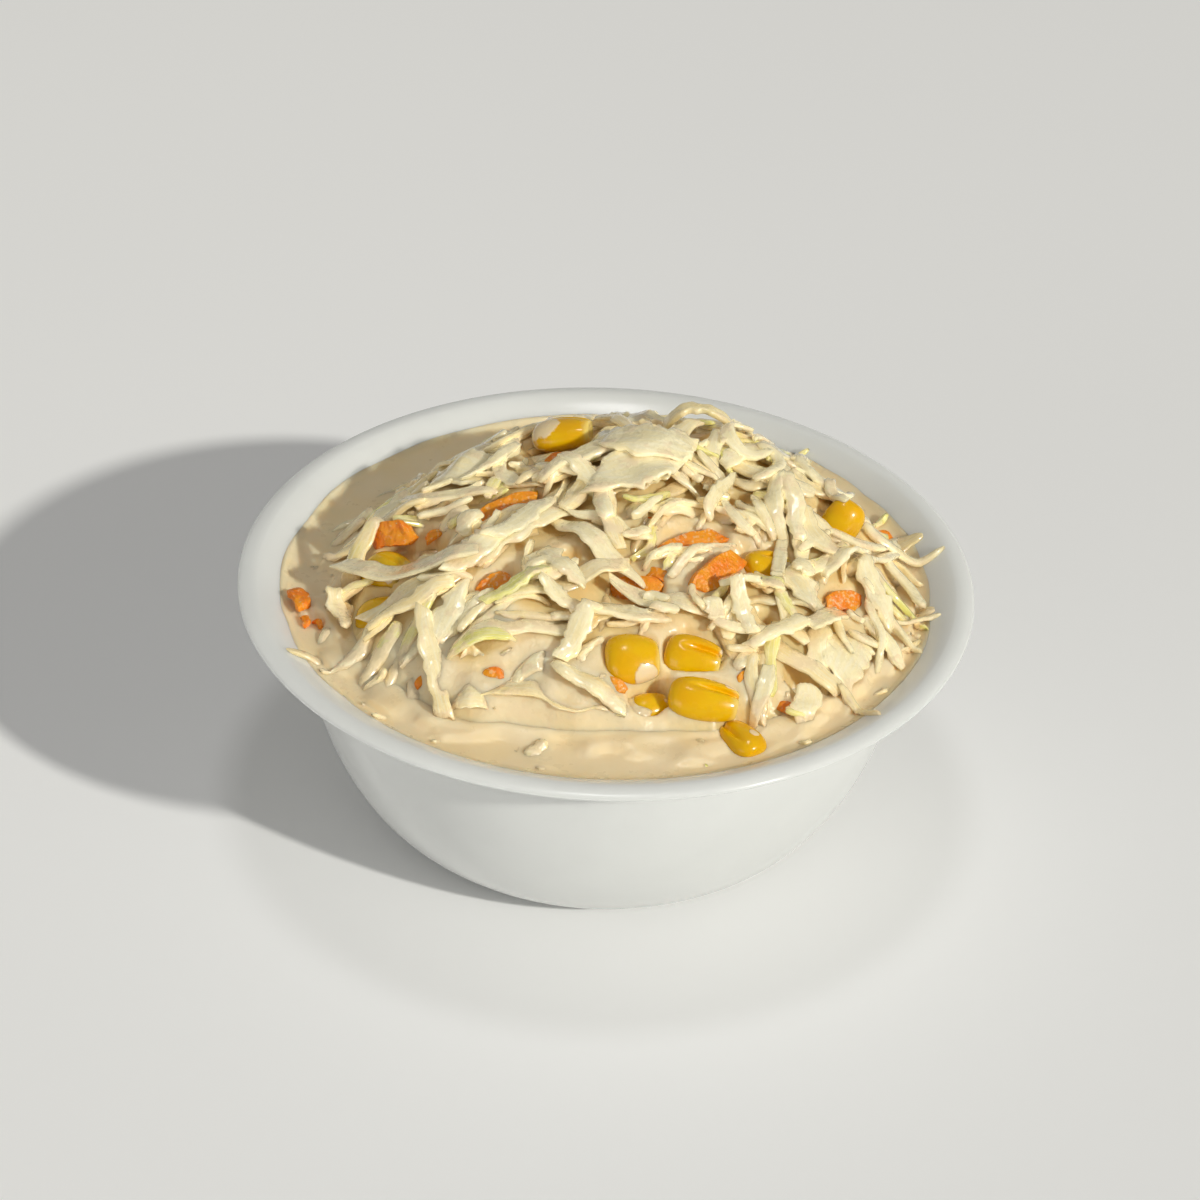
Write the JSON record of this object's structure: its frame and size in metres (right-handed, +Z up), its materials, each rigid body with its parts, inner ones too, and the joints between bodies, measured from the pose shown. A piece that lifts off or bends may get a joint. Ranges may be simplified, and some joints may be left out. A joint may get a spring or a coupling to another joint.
{
  "type": "coleslaw in a small bowl",
  "caption": "Small white round-sided bowl with a flared lip, filled with creamy dressing and heaped with shredded cabbage, carrot and sweetcorn.",
  "frame": {"origin": "middle of the bowl's flat base, on the surface it stands on", "axes": "+Z up out of the bowl; -Y is the front, +X to the right"},
  "size_m": [0.12, 0.12, 0.0626],
  "materials": {
    "opal_glass": "smooth white opal glass, glossy",
    "dressing": "wet warm cream dressing, softly glossy",
    "cabbage": "translucent off-white cabbage shreds coated with dressing",
    "sweetcorn": "glossy golden yellow kernels",
    "carrot": "moist orange carrot shreds with pale specks of dressing"
  },
  "bodies": {
    "root": {"bowl": "opal_glass", "dressing": "dressing", "slaw": "cabbage", "corn_top": "sweetcorn", "corn_left": "sweetcorn", "corn_left_low": "sweetcorn", "corn_right": "sweetcorn", "corn_middle": "sweetcorn", "corn_front_a": "sweetcorn", "corn_front_b": "sweetcorn", "corn_front_c": "sweetcorn", "corn_front_d": "sweetcorn", "corn_sunk": "sweetcorn", "carrot_block": "carrot", "carrot_left": "carrot", "carrot_left_low": "carrot", "carrot_stick": "carrot", "carrot_pale": "carrot", "carrot_middle": "carrot", "carrot_right": "carrot", "carrot_wall": "carrot"}
  },
  "joints": []
}
